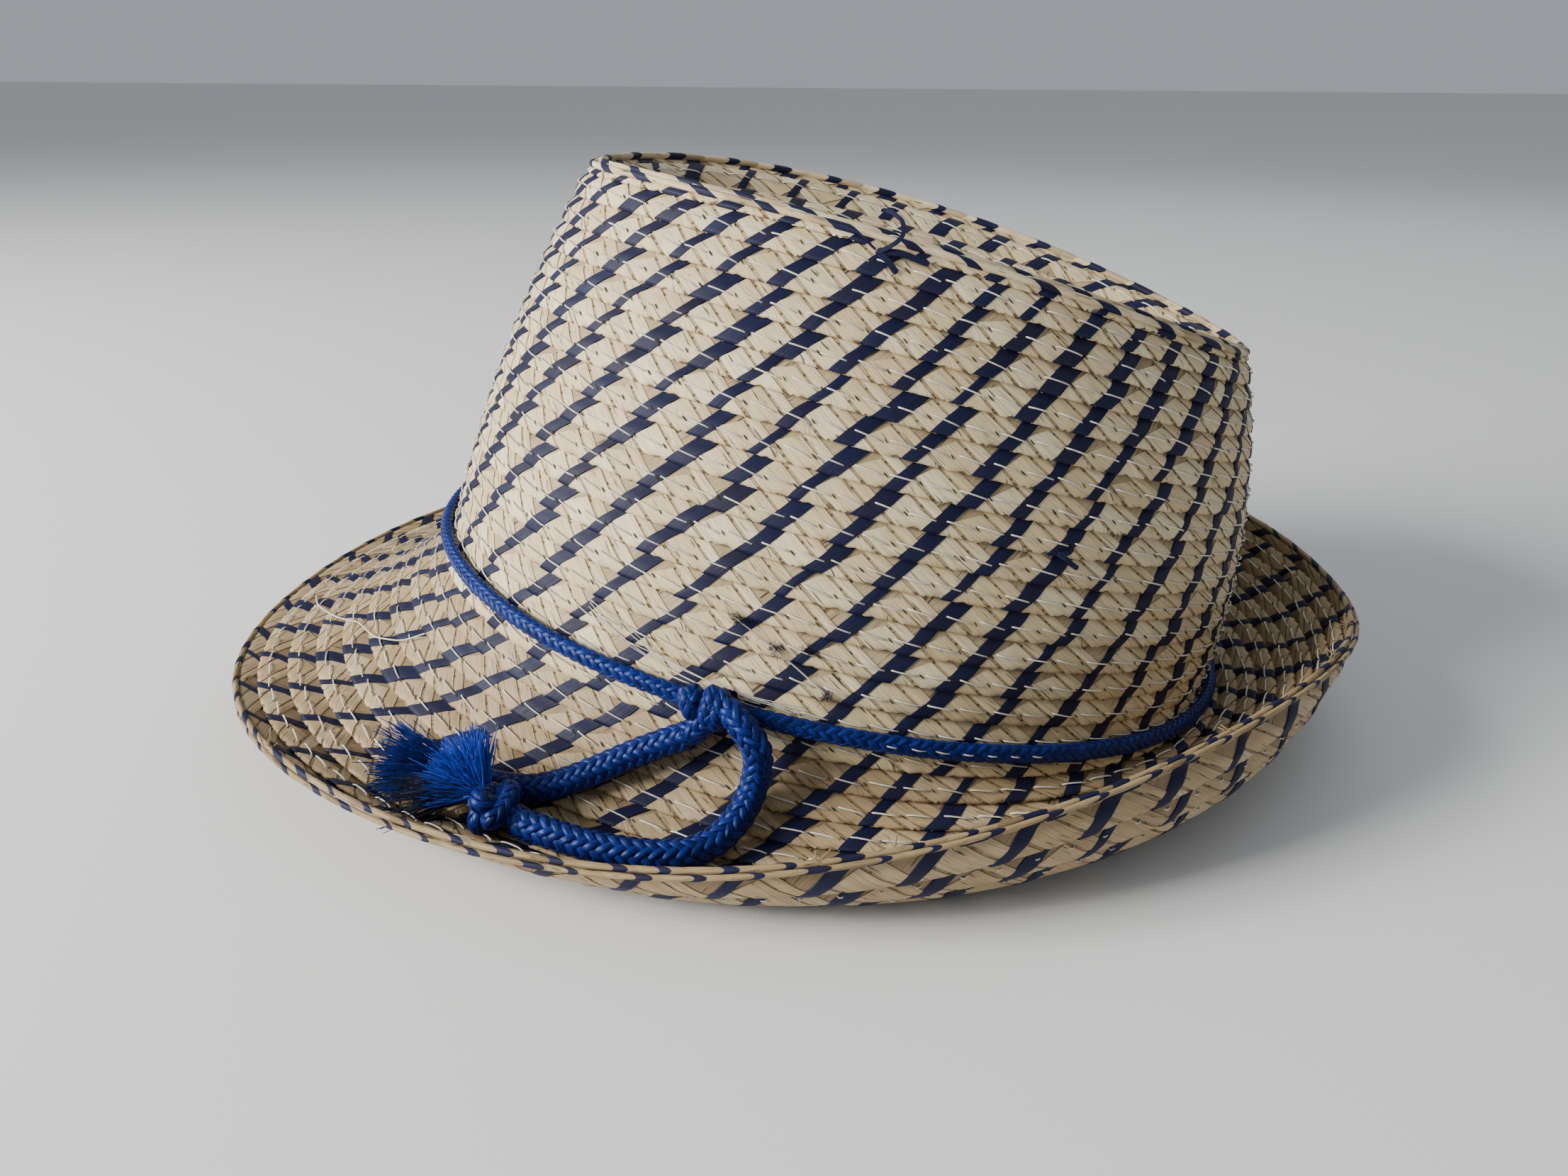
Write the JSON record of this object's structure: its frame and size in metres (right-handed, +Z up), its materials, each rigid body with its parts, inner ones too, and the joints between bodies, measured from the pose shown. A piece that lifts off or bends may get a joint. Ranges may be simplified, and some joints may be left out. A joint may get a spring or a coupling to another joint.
{
  "type": "trilby hat",
  "caption": "Trilby of palm-leaf braid sewn in a spiral, with a creased crown, a dipped front brim, an upturned back brim and a tied cord band with tasselled ends.",
  "frame": {"origin": "middle of the hat's box at its underside, as the hat lies on its brim; cord tails aside", "axes": "+Z up, -Y towards the front of the hat, +X towards the wearer's left"},
  "size_m": [0.2566, 0.293, 0.131],
  "materials": {
    "palm_braid": "matte woven palm leaf, natural with navy strips",
    "palm_rim": "matte folded palm leaf",
    "thread": "matte cotton",
    "sweatband": "matte cotton",
    "cord": "glossy braided synthetic",
    "tassel": "glossy loose fibres"
  },
  "bodies": {
    "root": {"braid_start": "palm_braid", "tip_course_01": "palm_braid", "tip_course_02": "palm_braid", "tip_course_03": "palm_braid", "tip_course_04": "palm_braid", "tip_course_05": "palm_braid", "tip_course_06": "palm_braid", "crown_course_01": "palm_braid", "crown_course_02": "palm_braid", "crown_course_03": "palm_braid", "crown_course_04": "palm_braid", "crown_course_05": "palm_braid", "crown_course_06": "palm_braid", "crown_course_07": "palm_braid", "crown_course_08": "palm_braid", "crown_course_09": "palm_braid", "crown_course_10": "palm_braid", "crown_course_11": "palm_braid", "crown_course_12": "palm_braid", "crown_course_13": "palm_braid", "crown_course_14": "palm_braid", "crown_course_15": "palm_braid", "crown_course_16": "palm_braid", "brim_course_01": "palm_braid", "brim_course_02": "palm_braid", "brim_course_03": "palm_braid", "brim_course_04": "palm_braid", "brim_course_05": "palm_braid", "brim_course_06": "palm_braid", "brim_course_07": "palm_braid", "brim_course_08": "palm_braid", "brim_course_09": "palm_braid", "rim_upper": "palm_rim", "rim_lower": "palm_rim", "thread_tip": "thread", "thread_crown": "thread", "thread_brim": "thread", "sweatband": "sweatband", "cord_band": "cord", "cord_knot": "cord", "tail_upper": "cord", "tail_lower": "cord", "end_knot_upper": "cord", "end_knot_lower": "cord", "tassel_upper": "tassel", "tassel_lower": "tassel"}
  },
  "joints": []
}
